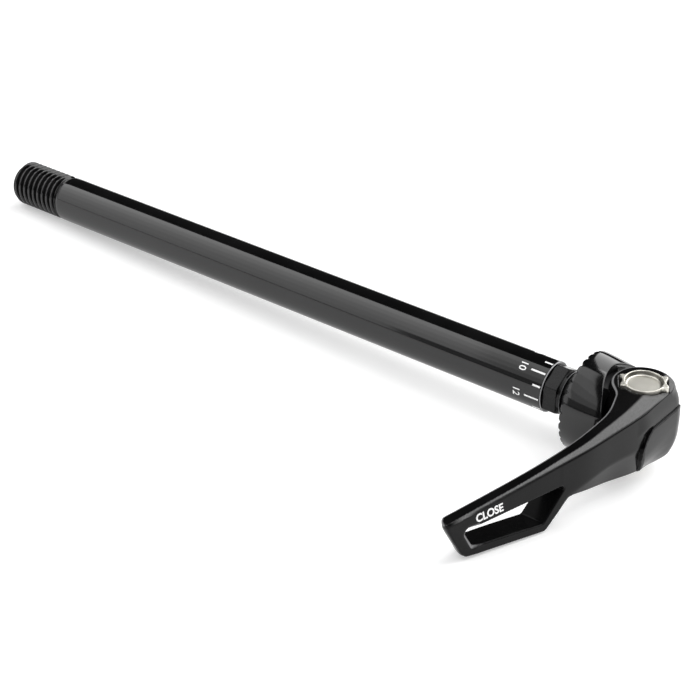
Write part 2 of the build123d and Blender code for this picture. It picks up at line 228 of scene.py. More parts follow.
def mesh_object(name, P, Q, N=None, layers=None):
    """P in millimetres; Q are quads or triangles."""
    me = bpy.data.meshes.new(name)
    P, Q = np.asarray(P, float), np.asarray(Q)
    me.vertices.add(len(P))
    me.vertices.foreach_set("co", (P * MM).astype(np.float32).ravel())
    k = Q.shape[1]
    me.loops.add(Q.size)
    me.loops.foreach_set("vertex_index", Q.astype(np.int32).ravel())
    me.polygons.add(len(Q))
    me.polygons.foreach_set("loop_start", np.arange(0, Q.size, k, dtype=np.int32))
    me.polygons.foreach_set("loop_total", np.full(len(Q), k, np.int32))
    me.update(calc_edges=True)
    me.validate()
    me.shade_smooth()
    for key, values in (layers or {}).items():
        at = me.attributes.new(key, "FLOAT", "POINT")
        at.data.foreach_set("value", np.asarray(values, np.float32))
    if N is not None:
        me.normals_split_custom_set_from_vertices([tuple(v) for v in np.asarray(N, float)])
    o = bpy.data.objects.new(name, me)
    bpy.context.scene.collection.objects.link(o)
    return o


# ------------------------------------------------------------------ lever
ST = [-63, -50, -40, -33, -27, -20, -13, -8, -2, 6]
top_z = Curve(ST, [5.75, 6.9, 7.85, 8.6, 9.15, 9.45, 9.5, 9.5, 9.5, 9.5], flat=True)
b_x = Curve(ST, [6.15, 9.75, 12.42, 14.05, 15.35, 15.95, 16.25, 16.15, 15.85, 15.7])
c_x = Curve(ST, [6.5, 10.2, 13.1, 15.1, 16.65, 17.85, 18.9, 19.4, 19.55, 19.55])
c_z = Curve(ST, [5.25, 6.3, 7.25, 7.9, 8.3, 8.55, 8.7, 8.8, 8.85, 8.9], flat=True)
d_x = Curve(ST, [6.5, 10.2, 13.1, 15.1, 16.75, 18.05, 19.3, 19.85, 20.05, 20.05])
f_x = Curve(ST, [1.6, 4.4, 7.2, 9.3, 10.9, 11.6, 11.6, 11.0, 10.2, 10.2])
h_x = Curve(ST, [2.0, 4.8, 7.6, 9.7, 11.3, 12.0, 12.0, 11.0, 9.6, 9.6])
h_z = Curve(ST, [0.8, 0.8, 1.6, 3.2, 4.6, 6.0, 7.3, 8.6, 8.8, 8.8])
a_x = Curve(ST, [3.6, 7.4, 10.2, 11.95, 13.05, 13.5, 13.0, 11.3, 9.6, 9.6])
crease_z = Curve([-34, -31.7, -21, -8, -2], [-0.4, -0.25, 1.2, 0.2, 0.0])
boss_r = Curve([-9.2, -8.3, -7.8, -6.8, -5.8, -4.6, -3.0, 0.0, 3.4, 4.6, 5.8, 7.5, 9.3, 9.6],
               [6.3, 6.9, 7.2, 7.75, 8.3, 8.7, 8.85, 8.95, 8.8, 8.65, 8.3, 7.55, 6.75, 6.55], flat=True)
face_x = Curve([-9.2, -8.3, -7.2, -5.4, -3.2, -0.8, 1.65, 3.8, 5.67, 8.0, 9.5],
               [18.3, 19.0, 19.5, 19.8, 19.9, 19.9, 19.85, 19.75, 19.65, 19.45, 19.3], flat=True)
tip_d = Curve([-6.86, -4.91, -3.51, -1.86, 0.04, 1.92, 4.37, 5.75, 9.0], [26.48, 27.55, 28.1, 28.65, 29.21, 29.75, 30.37, 30.5, 30.6], flat=True)
OUTLINE = [
    (16, 14), (-64.3, 14), (-63.0, 7.6), (-62.3, 4.6), (-60.7, 0.2), (-58.8, -3.3), (-57.4, -4.3),
    (-55.6, -4.55), (-37.4, -7.2), (-31.7, -1.4), (-30.4, -1.4), (-7.5, -7.1), (-3.0, -8.45), (1, -8.9), (16, -8.9),
]
SLOT = [(-57.7, 2.35), (-33.8, 2.5), (-33.1, 1.5), (-38.0, -4.95), (-55.5, -2.25)]
PAD = [(-6.7, 3.75), (-1.0, 3.55), (3.0, 3.4), (16.0, 3.7), (16.0, -12.0), (-7.2, -12.0), (-7.4, -9.0), (-8.0, -7.0), (-8.7, -5.2),
       (-9.6, -2.8), (-9.95, -0.8), (-9.8, 0.4), (-9.1, 1.7), (-8.0, 2.9)]
pad_y = Curve([-12.0, -9.0, -7.0, -5.2, -2.8, -0.8, 0.4, 1.7, 2.9, 3.75],
              [-7.2, -7.4, -8.0, -8.7, -9.6, -9.95, -9.8, -9.1, -8.0, -6.7], flat=True)
CAP_TURN = math.radians(31.0)


def cap_plan(x, y, grow, notch=True):
    c, s = math.cos(CAP_TURN), math.sin(CAP_TURN)
    u = (x - PIN_X) * c + y * s
    v = -(x - PIN_X) * s + y * c
    d = np.sqrt(u * u + v * v) - 4.4
    qu, qv = np.abs(u) - 4.85, np.abs(v) - 2.05
    ears = np.sqrt(np.maximum(qu, 0) ** 2 + np.maximum(qv, 0) ** 2) + np.minimum(np.maximum(qu, qv), 0) - 0.25
    d = smin(d, ears, 0.35) - grow
    if notch:
        d = smax(d, 2.3 - np.sqrt((np.abs(u) - 6.95) ** 2 + v * v), 0.25)
    return d


def lever_shell(x, y, z):
    """The lever's outside, without the pad and the cuts."""
    tz, bx, cx, cz, dx = top_z(y), b_x(y), c_x(y), c_z(y), d_x(y)
    fx, hx, hz, axx = f_x(y), h_x(y), h_z(y), a_x(y)
    slope = c_x(y + 0.5) - c_x(y - 0.5)
    flat = 1.0 / np.sqrt(1.0 + slope * slope)
    top = z - tz
    bev = side(x, z, cx, cz, bx, tz)
    out = side(x, z, dx, -10.0, cx, cz) * flat
    kz = crease_z(y)
    ox = dx + (cx - dx) * (kz + 10.0) / (cz + 10.0)
    lean = 0.22 * step(-35.0, -28.4, y) * (1.0 - 0.15 * step(-20.0, -9.0, y))
    facet = ((x - ox) - lean * (z - kz)) / np.sqrt(1.0 + lean * lean) * flat
    out = smax(out, facet, 0.12)
    # the head's face takes over softly above the pad, and at the pad's near edge below
    past = y - pad_y(z)
    low = step(4.8, 3.2, z)
    near_head = (1.0 - low) * step(-12.0, -6.0, y) + low * step(-0.3, 0.25, past)
    tuck = step(4.0, -9.0, y)
    drop = 0.046 * np.maximum(-1.0 - z, 0.0) ** 2 * tuck
    lean = 2.5 * (face_x(z + 0.2) - face_x(z - 0.2)) + 0.092 * np.maximum(-1.0 - z, 0.0) * tuck
    out = out * (1.0 - near_head) + (x - face_x(z) + drop) / np.sqrt(1.0 + lean * lean) * near_head
    outline = rounded(y, z, OUTLINE, 1.2)
    inner = smax(-side(x, z, fx, -10.0, hx, hz), -side(x, z, hx, hz, axx, tz), 0.8) * flat
    inner = np.maximum(inner, y - 3.0)
    inner = rmax(inner, outline, 0.5)
    # the tip's inner corner is cut off in plan, more so low down
    slope = tip_d(z + 0.2) - tip_d(z - 0.2)
    tip = (-0.829 * x - 0.559 * y - tip_d(z)) / np.sqrt(1.0 + 6.25 * slope * slope)
    inner = rmax(inner, tip, 0.5 + 2.2 * step(6.0, -1.0, z))
    shift = 0.6 * step(9.0, 4.0, z)
    px = x - PIN_X - shift
    px = np.where(y > 0.0, px, np.minimum(px, 0.0))
    boss = np.sqrt(px * px + y * y) - boss_r(z)
    plan = smin(boss, inner, 1.6)
    body = rmax(out, plan, 0.4 + 1.3 * step(-4.0, 1.0, y))
    upper = smax(top, bev, 0.025)
    body = np.maximum(smax(body, upper, 0.32), rmax(plan, upper, 0.28))
    radius = 0.3 + 1.3 * step(-10.0, -3.0, y) + 0.5 * step(-54.0, -59.0, y)
    return rmax(body, outline, radius)


def lever_field(x, y, z):
    shell = lever_shell(x, y, z)
    mask = polygon(y, z, inset(PAD, 0.3)) - 0.3
    pad = smax(shell - 0.4, mask, 0.2)
    pad = smax(pad, (PIN_X + 2.2) - x, 0.3)
    # a groove runs down the pad's near edge
    wide = 0.13
    groove = np.maximum(np.maximum(np.abs(mask - wide) - wide, -0.3 - shell), np.maximum(y + 6.0, 16.0 - x))
    f = smin(smax(shell, -groove, 0.12), pad, 0.1)
    f = smax(f, -rounded(y, z, SLOT, 0.7), 0.3 + 1.1 * step(-53.5, -57.0, y))
    px = x - PIN_X
    r = np.sqrt(px * px + y * y)
    deg = np.degrees(np.arctan2(y, px))
    deg = np.where(deg < -90.0, deg + 360.0, deg)
    cam = 6.35 - 1.2 * np.clip(180.0 - deg, 0.0, 140.0) / 90.0
    relief = np.maximum(np.maximum(cam - r, 0.70711 * (px - y)), np.abs(z) - 7.7)
    f = smax(f, -relief, 0.15)
    f = np.maximum(f, 4.05 - r)
    pocket = np.maximum(cap_plan(x, y, 0.14, notch=False), 8.2 - z)
    f = smax(f, -pocket, 0.08)
    f = smax(f, -np.maximum(r - 4.35, z + 7.0), 0.1)
    quad = np.sqrt(np.maximum(px, 0.0) ** 2 + np.maximum(-y, 0.0) ** 2) + np.minimum(np.maximum(px, -y), 0.0)
    rod = np.maximum(quad - 2.8, np.abs(z) - 2.8)
    return smax(f, -rod, 0.1)


P, N, Q = mesh_field(lever_field, (0.0, -64.0, -9.3), (21.2, 9.9, 10.2), 0.23)
edge = curvature(lever_field, P)
x, y, z = P.T
bx, tz, cx, cz = b_x(y), top_z(y), c_x(y), c_z(y)
bev = side(x, z, cx, cz, bx, tz)
along = ((x - bx) * (cx - bx) + (z - tz) * (cz - tz)) / ((cx - bx) ** 2 + (cz - tz) ** 2)
on_bevel = step(0.14, 0.06, np.abs(bev)) * step(-0.12, 0.08, along) * step(1.12, 0.92, along)
# painted edge highlights: strong on the inner lip and the slot's outer end, none on the crease below the bevel
edge = np.maximum(edge, 0.0) * step(0.35, 0.7, np.sqrt((x - cx) ** 2 + (z - cz) ** 2))
lip = step(0.9, 0.4, np.abs(z - tz)) * step(0.3, 0.6, bx - x)
slot_end = step(1.0, 0.5, np.abs(rounded(y, z, SLOT, 0.7))) * step(-53.0, -55.0, y)
edge = edge * (0.4 + 0.6 * np.maximum(lip, slot_end))
off = rounded(y, z, SLOT, 0.7)
# a painted highlight on the slot's outer rim, only where it faces +X
rim = step(-0.25, 0.0, off) * step(0.9, 0.6, off) * step(-53.8, -55.0, y) * step(0.0, 0.4, N[:, 0]) * step(3.6, 2.4, z) * step(-3.1, -2.0, z)
edge = np.maximum(edge, rim)
on_bevel = on_bevel * (0.55 + 0.25 * step(-24.0, -38.0, y)) * step(-61.5, -58.0, y)
mask = polygon(y, z, inset(PAD, 0.3)) - 0.3
# painted shade darkens the groove along the pad's near edge
groove_and_crease_shade = step(-0.1, 0.05, mask) * step(0.8, 0.4, mask) * step(-5.0, -6.4, y) * step(16.0, 16.5, x) * step(0.05, -0.12, lever_shell(x, y, z))
# painted shade: a thin dark line along the crease below the bevel, also taken out of the paler bevel
crease = step(0.5, 0.22, np.sqrt((x - cx) ** 2 + (z - cz) ** 2)) * step(-58.0, -54.0, y) * step(-1.0, -5.0, y)
groove_and_crease_shade = np.maximum(groove_and_crease_shade, 0.7 * crease)
on_bevel = on_bevel * (1.0 - 0.7 * crease)
lever = mesh_object("lever_forging", P, Q, N, {"edge": edge, "bevel": on_bevel, "groove": groove_and_crease_shade})
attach(lever, "lever")
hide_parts("lever")


# ------------------------------------------------------------------ pin cap
def cap_field(x, y, z):
    d = cap_plan(x, y, 0.0)
    f = rmax(d, np.maximum(z - 10.1, 8.2 - z), 0.16)
    r = np.sqrt((x - PIN_X) ** 2 + y * y)
    dish = smax((r - 3.75 - (z - 9.15) * 0.33) * 0.95, 9.15 - z, 0.3)
    return smax(f, -dish, 0.12)


P, N, Q = mesh_field(cap_field, (7.6, -5.6, 8.0), (19.6, 5.6, 10.35), 0.085)
r = np.sqrt((P[:, 0] - PIN_X) ** 2 + P[:, 1] ** 2)
# painted shade: a ring round the dish's wall is darkened
painted_well_shade = step(0.34, 0.12, np.abs(r - 3.9)) * step(10.06, 9.9, P[:, 2]) * step(9.14, 9.3, P[:, 2])
cap = mesh_object("pin_cap_dished", P, Q, N, {"edge": curvature(cap_field, P, 0.08), "painted_well_shade": painted_well_shade})
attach(cap, "lever")
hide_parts("upper_pin_cap")


# ------------------------------------------------------------------ clamp flange
rim = Curve([0.0, 0.4, 2.6, 5.0, 7.2, 9.3, 10.2], [11.28, 11.33, 11.47, 11.4, 11.2, 10.85, 10.6])
crown = Curve([0.0, 0.5, 1.9, 3.0, 4.5, 6.5, 8.5, 10.2], [11.3, 11.35, 11.26, 11.1, 10.84, 10.44, 9.92, 9.35])
hollow = Curve([0, 4.6, 5.8, 7.8, 9.3, 10.5, 11.6, 13.2], [10.8, 10.5, 10.1, 8.96, 8.23, 7.88, 7.72, 7.6], flat=True)


def flange_field(x, y, z):
    r = np.sqrt(y * y + z * z)
    high = step(0.45, 0.98, np.abs(z) / np.maximum(r, 1.0))
    f = rmax(r - rim(x) * (1.0 - high) - crown(x) * high, np.maximum(-x, x - 10.2), 0.3)
    # radial teeth
    a = np.arctan2(z, y)
    pitch = 2 * math.pi / 30
    t = np.abs((a / pitch - np.round(a / pitch)) * pitch) * r
    grow = np.clip((r - 8.2) / 4.1, 0.0, None)
    gap = (1.0 * grow - 0.06) - t * 0.93 - x
    f = smax(f, gap * 0.72, 0.1)
    f = smax(f, -np.maximum(r - 6.75, x - 1.2), 0.25)
    f = np.maximum(f, 2.58 - r)
    rp = np.sqrt((x - PIN_X) ** 2 + y * y)
    return smax(f, (hollow(np.abs(z)) - rp) * 0.92, 0.35)


P, N, Q = mesh_field(flange_field, (-0.6, -12.0, -12.0), (10.8, 12.0, 12.0), 0.17)
flange = mesh_object("toothed_flange", P, Q, N, {"edge": curvature(flange_field, P)})
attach(flange, "flange")
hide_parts("clamp_flange")


# ------------------------------------------------------------------ index nut
def nut_field(x, y, z):
    r = np.sqrt(y * y + z * z)
    h = 5.196
    hexa = None
    for k in range(3):
        c, s = math.cos(math.radians(60 * k)), math.sin(math.radians(60 * k))
        d = np.abs(y * c + z * s) - h
        hexa = d if hexa is None else smax(hexa, d, 0.2)
    f = smax(hexa, 0.70711 * (r - 5.5 - (x + 7.8) * 1.2), 0.08)
    f = rmax(f, np.maximum(x + 4.45, -7.8 - x), 0.1)
    for radius, end, edge_r in ((5.05, -3.6, 0.16), (4.2, -2.6, 0.12)):
        f = smin(f, rmax(r - radius, np.maximum(x - end, -6.0 - x), edge_r), 0.06)
    return np.maximum(f, 2.5 - r)


P, N, Q = mesh_field(nut_field, (-8.2, -6.5, -6.5), (-2.2, 6.5, 6.5), 0.125)
# painted highlights on the nut's edges, strongest on the collar's end ring
edge_highlight = curvature(nut_field, P, 0.1) * (0.35 + 0.65 * step(-4.4, -4.0, P[:, 0]))
nut = mesh_object("index_hexagon", P, Q, N, {"edge": edge_highlight})
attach(nut, "head")
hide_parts("index_nut")


# ------------------------------------------------------------------ axle tube
PITCH, TIP, ROOT, CREST = 1.75, -180.0, 5.0, 5.95
SEG = 144
theta = np.arange(SEG) * 2 * math.pi / SEG


def thread_r(x, th):
    u = np.mod((x - TIP) / PITCH - th / (2 * math.pi), 1.0)
    w = np.abs(u - 0.5)                       # 0 at the middle of the crest, 0.5 at the root
    flank = np.clip((w - 0.07) / 0.30, 0.0, 1.0)
    flank = flank - 0.06 * np.sin(2 * math.pi * flank)
    r = CREST - (CREST - ROOT) * flank
    runout = step(-163.6, -162.9, x)
    r = r * (1 - runout) + ROOT * runout
    return np.minimum(r, 4.85 + (x - TIP) * 1.05)


rows = []                                      # (x, radius) for each row round the tube
rows.append((np.full(SEG, -179.6), np.full(SEG, 3.4)))
rows.append((np.full(SEG, TIP), np.full(SEG, 3.8)))
rows.append((np.full(SEG, TIP), np.full(SEG, 4.2)))
for xx in np.arange(TIP, -162.25, 0.0625):
    rows.append((np.full(SEG, xx), thread_r(xx, theta)))
for xx, rr in ((-162.2, 5.0), (-162.16, 5.06), (-162.12, 5.5), (-162.1, 5.78), (-162.02, 5.93), (-161.9, 5.985), (-161.75, 6.0)):
    rows.append((np.full(SEG, xx), np.full(SEG, rr)))
for xx in np.linspace(-160.0, -12.0, 40):
    rows.append((np.full(SEG, xx), np.full(SEG, 6.0)))
for xx, rr in ((-8.6, 6.0), (-8.1, 6.0), (-8.04, 5.985), (-7.94, 5.9), (-7.91, 5.86), (-7.9, 5.8), (-7.9, 5.2), (-7.9, 4.5), (-7.96, 4.42),
               (-8.1, 4.4), (-20.0, 4.4), (-31.0, 4.4), (-32.0, 3.4), (-60.0, 3.4), (-120.0, 3.4), (-170.0, 3.4)):
    rows.append((np.full(SEG, xx), np.full(SEG, rr)))
P = np.concatenate([np.stack([xx, rr * np.cos(theta), rr * np.sin(theta)], 1) for xx, rr in rows])
R, C = len(rows), SEG
i = np.arange(R)[:, None]
j = np.arange(C)[None, :]
nxt = (j + 1) % C
down = (i + 1) % R
Q = np.stack([(i * C + j).ravel() * 1, (i * C + nxt).ravel(), (down * C + nxt).ravel(), (down * C + j).ravel()], 1)
tube = mesh_object("axle_tube_threaded", P, Q)
# painted highlights: thread crests, the end chamfer's ring and a dimmer ring at the thread's run-out
crest = np.concatenate([np.where(np.abs(xx + 171.5) < 9.4, step(0.45, 0.0, CREST - rr), 0.0) for xx, rr in rows])
ring = np.concatenate([np.where((xx > -8.06) & (xx < -7.89) & (rr > 5.85) & (rr < 5.99), 1.0, 0.0) for xx, rr in rows])
ring = np.maximum(ring, np.concatenate([np.where((xx > -162.11) & (xx < -161.8) & (rr > 5.7), 0.2, 0.0) for xx, rr in rows]))
for key, values in (("edge", crest), ("ring", ring)):
    at = tube.data.attributes.new(key, "FLOAT", "POINT")
    at.data.foreach_set("value", values.astype(np.float32))
tube.data.set_sharp_from_angle(angle=math.radians(32))
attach(tube, "axle")
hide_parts("axle_tube")


# ------------------------------------------------------------------ printed marks
def text_faces(words, size, bold):
    """Flat triangles of a word: vertices in units of millimetres, and triangles, cut up fine enough to wrap."""
    cu = bpy.data.curves.new("words", "FONT")
    cu.body = words
    cu.size = size
    cu.resolution_u = 6
    cu.offset = bold * size
    o = bpy.data.objects.new("words", cu)
    me = bpy.data.meshes.new_from_object(o)
    bpy.data.objects.remove(o)
    bpy.data.curves.remove(cu)
    import bmesh
    bm = bmesh.new()
    bm.from_mesh(me)
    bmesh.ops.remove_doubles(bm, verts=bm.verts, dist=1e-5)
    for cut in np.arange(-12.0, 12.0, 0.12) * 1.0:
        bmesh.ops.bisect_plane(bm, geom=bm.verts[:] + bm.edges[:] + bm.faces[:], plane_co=(cut + 0.013, 0, 0), plane_no=(1, 0, 0))
    bmesh.ops.triangulate(bm, faces=bm.faces)
    bm.verts.ensure_lookup_table()
    V = np.array([v.co[:2] for v in bm.verts])
    T = np.array([[v.index for v in f.verts] for f in bm.faces])
    bm.free()
    bpy.data.meshes.remove(me)
    return V, T


def slab(name, V, T, place, lift, sink):
    """A thin closed slab: the flat faces V, T put on a surface by place(u, v, height)."""
    top, low = place(V[:, 0], V[:, 1], lift), place(V[:, 0], V[:, 1], -sink)
    n = len(V)
    count = {}
    for t in T:
        for a, b in ((t[0], t[1]), (t[1], t[2]), (t[2], t[0])):
            count[(a, b)] = count.get((a, b), 0) + 1
    rimmed = [(a, b) for a, b in count if (b, a) not in count]
    walls = []
    for a, b in rimmed:
        walls += [[a, a + n, b + n], [a, b + n, b]]
    faces = np.concatenate([T, T[:, ::-1] + n, np.array(walls, int)])
    me_o = mesh_object(name, np.concatenate([top, low]), faces)
    me_o.data.set_sharp_from_angle(angle=math.radians(35))
    return me_o


def on_tube(x0, phi0):
    """u runs round the tube towards smaller angles, v along +X; the angle is from -Y towards +Z."""
    def place(u, v, height):
        r = 6.0 + height
        phi = math.radians(phi0) - u / 6.0
        return np.stack([x0 + v, -r * np.cos(phi), r * np.sin(phi)], 1)
    return place


def bar(width, length):
    us = np.linspace(-width / 2, width / 2, 5)
    vs = np.linspace(0, length, 4)
    V = np.array([(a, b) for b in vs for a in us])
    T = []
    for b in range(len(vs) - 1):
        for a in range(len(us) - 1):
            k = b * len(us) + a
            T += [[k, k + 1, k + len(us) + 1], [k, k + len(us) + 1, k + len(us)]]
    return V, np.array(T)


prints = []
for number in range(1, 13):
    phi = 84.0 - 30.0 * (number - 9)
    long_mark = number % 2 == 0
    V, T = bar(0.42, 3.6 if long_mark else 2.0)
    x0 = -12.0 if long_mark else -10.35
    prints.append(slab("scale_mark_%02d" % number, V, T, on_tube(x0, phi), 0.012, 0.03))
    if long_mark:
        V, T = text_faces(str(number), 3.0, 0.008)
        V = V - [(V[:, 0].min() + V[:, 0].max()) / 2, V[:, 1].min()]
        V = V * (1.75 / V[:, 1].max())
        prints.append(slab("scale_number_%02d" % number, V, T, on_tube(-14.95, phi), 0.012, 0.03))
for o in prints:
    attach(o, "axle")

V, T = text_faces("CLOSE", 2.9, 0.03)
V = V - [V[:, 0].min(), V[:, 1].min()]
V = V * [6.55 / V[:, 0].max(), 2.15 / V[:, 1].max()]


def on_lever(u, v, height):
    yy = -55.2 + u - 0.2 * v
    zz = 3.28 + v
    xx = d_x(yy) + (c_x(yy) - d_x(yy)) * (zz + 10.0) / (c_z(yy) + 10.0)
    for _ in range(6):
        xx = xx - lever_field(xx, yy, zz)
    return np.stack([xx + height, yy, zz], 1)


word = slab("closed_side_word", V, T, on_lever, 0.012, 0.04)
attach(word, "lever")
prints.append(word)


# ------------------------------------------------------------------ materials
class Nodes:
    """A small helper to write a node tree in few lines."""

    def __init__(self, name):
        self.m = bpy.data.materials.new(name)
        self.m.use_nodes = True
        self.t = self.m.node_tree
        self.t.nodes.clear()
        self.out = self.add("ShaderNodeOutputMaterial")
        self.b = self.add("ShaderNodeBsdfPrincipled")
        self.link(self.b.outputs["BSDF"], self.out.inputs["Surface"])
        self.where = self.add("ShaderNodeTexCoord").outputs["Object"]

    def add(self, kind, **values):
        n = self.t.nodes.new(kind)
        for k, v in values.items():
            setattr(n, k, v)
        return n

    def link(self, a, b):
        self.t.links.new(a, b)

    def noise(self, scale, detail=2.0, rough=0.5, stretch=None):
        n = self.add("ShaderNodeTexNoise")
        n.inputs["Scale"].default_value = scale
        n.inputs["Detail"].default_value = detail
        n.inputs["Roughness"].default_value = rough
        src = self.where
        if stretch:
            mp = self.add("ShaderNodeMapping")
            mp.inputs["Scale"].default_value = stretch
            self.link(self.where, mp.inputs["Vector"])
            src = mp.outputs["Vector"]
        self.link(src, n.inputs["Vector"])
        return n.outputs["Fac"]

    def attr(self, name):
        n = self.add("ShaderNodeAttribute")
        n.attribute_name = name
        return n.outputs["Fac"]

    def ramp(self, fac, a, b, lo=0.0, hi=1.0):
        n = self.add("ShaderNodeMapRange")
        n.inputs["From Min"].default_value = lo
        n.inputs["From Max"].default_value = hi
        n.inputs["To Min"].default_value = a
        n.inputs["To Max"].default_value = b
        self.link(fac, n.inputs["Value"])
        return n.outputs["Result"]

    def math(self, op, a, b):
        n = self.add("ShaderNodeMath", operation=op)
        for i, v in enumerate((a, b)):
            if isinstance(v, (int, float)):
                n.inputs[i].default_value = v
            else:
                self.link(v, n.inputs[i])
        return n.outputs[0]

    def mix(self, fac, a, b):
        n = self.add("ShaderNodeMix", data_type="RGBA")
        for key, v in (("Factor", fac), ("A", a), ("B", b)):
            s = [q for q in n.inputs if q.name == key and (q.type == "RGBA" if key != "Factor" else q.type == "VALUE")][0]
            if isinstance(v, (int, float)):
                s.default_value = v
            elif isinstance(v, tuple):
                s.default_value = (*v, 1.0)
            else:
                self.link(v, s)
        return [q for q in n.outputs if q.type == "RGBA"][0]

    def bump(self, height, strength, distance):
        n = self.add("ShaderNodeBump")
        n.inputs["Strength"].default_value = strength
        n.inputs["Distance"].default_value = distance
        self.link(height, n.inputs["Height"])
        self.link(n.outputs["Normal"], self.b.inputs["Normal"])

    def set(self, **values):
        for k, v in values.items():
            s = self.b.inputs[k.replace("_", " ")]
            if isinstance(v, tuple):
                s.default_value = (*v, 1.0) if len(v) == 3 else v
            elif isinstance(v, (int, float)):
                s.default_value = v
            else:
                self.link(v, s)
        return self


def put(o, m):
    o.data.materials.clear()
    o.data.materials.append(m)


# tube: gloss black anodising with faint drawing lines along it, painted highlights on the thread crests and on rings
# at the cut end and the thread's run-out
n = Nodes("tube_black")
blot = n.noise(90.0, 3.0)
lines = n.noise(2600.0, 2.0, 0.6, (0.012, 1.0, 1.0))
base = n.mix(n.ramp(blot, 0.0, 1.0, 0.35, 0.7), (0.0018, 0.0018, 0.0019), (0.0038, 0.0038, 0.0040))
# painted highlights on the thread crests and the two rings
base = n.mix(n.math("MULTIPLY", n.attr("edge"), 0.3), base, (0.05, 0.05, 0.052))
base = n.mix(n.attr("ring"), base, (0.36, 0.36, 0.37))
n.set(Base_Color=base, Roughness=n.ramp(lines, 0.06, 0.11, 0.3, 0.7), Specular_IOR_Level=0.5)
n.bump(lines, 0.04, 0.00002)
tube_black = n.m

# flange: deep gloss black, faint turning marks round the axle
n = Nodes("flange_black")
blot = n.noise(140.0, 3.0)
turned = n.noise(4200.0, 1.0, 0.5, (1.0, 0.03, 0.03))
base = n.mix(n.ramp(blot, 0.0, 1.0, 0.35, 0.7), (0.0025, 0.0025, 0.0027), (0.0050, 0.0050, 0.0053))
# painted highlights: the flange's convex edges lighter
base = n.mix(n.ramp(n.attr("edge"), 0.0, 0.4, 0.5, 1.0), base, (0.05, 0.05, 0.052))
n.set(Base_Color=base, Roughness=n.ramp(turned, 0.06, 0.11, 0.3, 0.7), Specular_IOR_Level=0.5)
n.bump(turned, 0.02, 0.00001)
flange_black = n.m

# hexagon: black anodised over fine cutter marks
n = Nodes("hexagon_black")
marks = n.noise(3800.0, 2.0, 0.5, (0.1, 1.0, 1.0))
base = n.mix(n.ramp(marks, 0.0, 1.0, 0.3, 0.7), (0.0040, 0.0040, 0.0042), (0.0080, 0.0080, 0.0084))
# painted highlights: the hexagon's edges lighter
base = n.mix(n.ramp(n.attr("edge"), 0.0, 0.9, 0.25, 0.8), base, (0.22, 0.22, 0.225))
n.set(Base_Color=base, Roughness=n.ramp(marks, 0.14, 0.22, 0.3, 0.7), Specular_IOR_Level=0.22)
n.bump(marks, 0.03, 0.00001)
hexagon_black = n.m

# lever: satin black anodising over a fine blasted grain, paler bevel, painted highlights on the edges, painted shade
# in the groove and along the crease
n = Nodes("lever_black")
grain = n.noise(5200.0, 2.0, 0.55)
blot = n.noise(110.0, 3.0)
base = n.mix(n.ramp(blot, 0.0, 1.0, 0.35, 0.7), (0.0022, 0.0022, 0.0023), (0.0042, 0.0042, 0.0044))
pale = n.mix(n.ramp(grain, 0.0, 1.0, 0.35, 0.65), (0.155, 0.155, 0.155), (0.235, 0.235, 0.235))
base = n.mix(n.attr("bevel"), base, pale)
# painted highlights: the edge mask lightens the lever's edges
base = n.mix(n.ramp(n.attr("edge"), 0.0, 0.85, 0.2, 0.75), base, (0.24, 0.24, 0.245))
# painted shade: the groove and the crease are darkened
base = n.mix(n.attr("groove"), base, (0.0010, 0.0010, 0.0010))
n.set(Base_Color=base, Roughness=n.ramp(grain, 0.13, 0.19, 0.3, 0.7), Specular_IOR_Level=0.1)
n.bump(grain, 0.05, 0.00002)
lever_black = n.m

# pin cap: warm nickel, turned in fine rings in the dish, with painted shade on the dish's wall
n = Nodes("cap_nickel")
grain = n.noise(3000.0, 2.0, 0.5)
blot = n.noise(260.0, 3.0)
base = n.mix(n.ramp(blot, 0.0, 1.0, 0.3, 0.7), (0.62, 0.605, 0.545), (0.69, 0.675, 0.615))
# painted shade darkens the dish's wall
base = n.mix(n.ramp(n.attr("painted_well_shade"), 0.0, 0.8, 0.0, 1.0), base, (0.17, 0.165, 0.15))
n.set(Base_Color=base, Metallic=1.0, Roughness=n.ramp(grain, 0.30, 0.38, 0.3, 0.7))
n.bump(grain, 0.06, 0.00002)
cap_nickel = n.m

# print: white ink, slightly uneven
n = Nodes("print_white")
ink = n.noise(3500.0, 2.0)
base = n.mix(n.ramp(ink, 0.0, 1.0, 0.3, 0.7), (0.90, 0.90, 0.90), (0.96, 0.96, 0.96))
n.set(Base_Color=base, Roughness=n.ramp(ink, 0.38, 0.5, 0.3, 0.7))
n.bump(ink, 0.05, 0.00001)
print_white = n.m

# hidden hardware: turned steel, plain aluminium and dark bearing plastic
n = Nodes("turned_steel")
marks = n.noise(2600.0, 2.0, 0.5, (1.0, 0.08, 0.08))
base = n.mix(n.ramp(marks, 0.0, 1.0, 0.3, 0.7), (0.40, 0.40, 0.41), (0.52, 0.52, 0.53))
n.set(Base_Color=base, Metallic=1.0, Roughness=n.ramp(marks, 0.24, 0.36, 0.3, 0.7))
n.bump(marks, 0.08, 0.00002)
turned_steel = n.m

n = Nodes("plain_aluminium")
marks = n.noise(2000.0, 2.0, 0.5, (1.0, 0.08, 0.08))
base = n.mix(n.ramp(marks, 0.0, 1.0, 0.3, 0.7), (0.56, 0.56, 0.57), (0.66, 0.66, 0.67))
n.set(Base_Color=base, Metallic=1.0, Roughness=n.ramp(marks, 0.26, 0.38, 0.3, 0.7))
n.bump(marks, 0.08, 0.00002)
plain_aluminium = n.m

n = Nodes("bearing_plastic")
grain = n.noise(2400.0, 3.0, 0.55)
base = n.mix(n.ramp(grain, 0.0, 1.0, 0.3, 0.7), (0.020, 0.020, 0.021), (0.032, 0.032, 0.033))
n.set(Base_Color=base, Roughness=n.ramp(grain, 0.36, 0.5, 0.3, 0.7))
n.bump(grain, 0.15, 0.00004)
bearing_plastic = n.m

